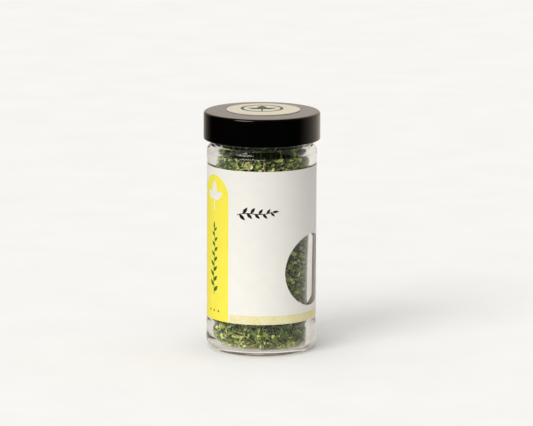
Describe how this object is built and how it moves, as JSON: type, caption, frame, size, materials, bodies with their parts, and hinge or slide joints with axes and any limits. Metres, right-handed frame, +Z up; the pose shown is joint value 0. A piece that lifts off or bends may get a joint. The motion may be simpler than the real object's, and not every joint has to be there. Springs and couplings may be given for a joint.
{
  "type": "glass spice jar of dried parsley flakes",
  "caption": "Small round glass spice jar filled with dried green parsley flakes, with a wrap-around paper label, a round window in it, and a flat black screw cap.",
  "frame": {"origin": "middle of the jar's footprint, on the plane it stands on", "axes": "+Z up along the jar's axis, -Y towards the middle of the label's front, +X towards the side with the round window"},
  "size_m": [0.0536, 0.0536, 0.1107],
  "materials": {
    "clear_glass": "polished",
    "black_plastic": "satin",
    "white_foam": "matte",
    "label_paper": "matte",
    "sticker_paper": "matte",
    "dried_leaf": "matte"
  },
  "bodies": {
    "jar": {"jar": "clear_glass", "label": "label_paper", "parsley_flakes": "dried_leaf"},
    "liner": {"cap_liner": "white_foam"},
    "cap": {"cap": "black_plastic", "cap_sticker": "sticker_paper"}
  },
  "joints": [
    {"name": "cap_rise", "type": "slide", "parent": "jar", "child": "liner", "axis": [0, 0, 1], "range_m": [0, 0.00421]},
    {"name": "cap_turn", "type": "hinge", "parent": "liner", "child": "cap", "pos_m": [0, 0, 0.104], "axis": [0, 0, 1], "range_deg": [0, 360]}
  ],
  "couplings": [
    {"joint": "cap_rise", "follows": "cap_turn", "m_per_rad": 0.00066845}
  ]
}
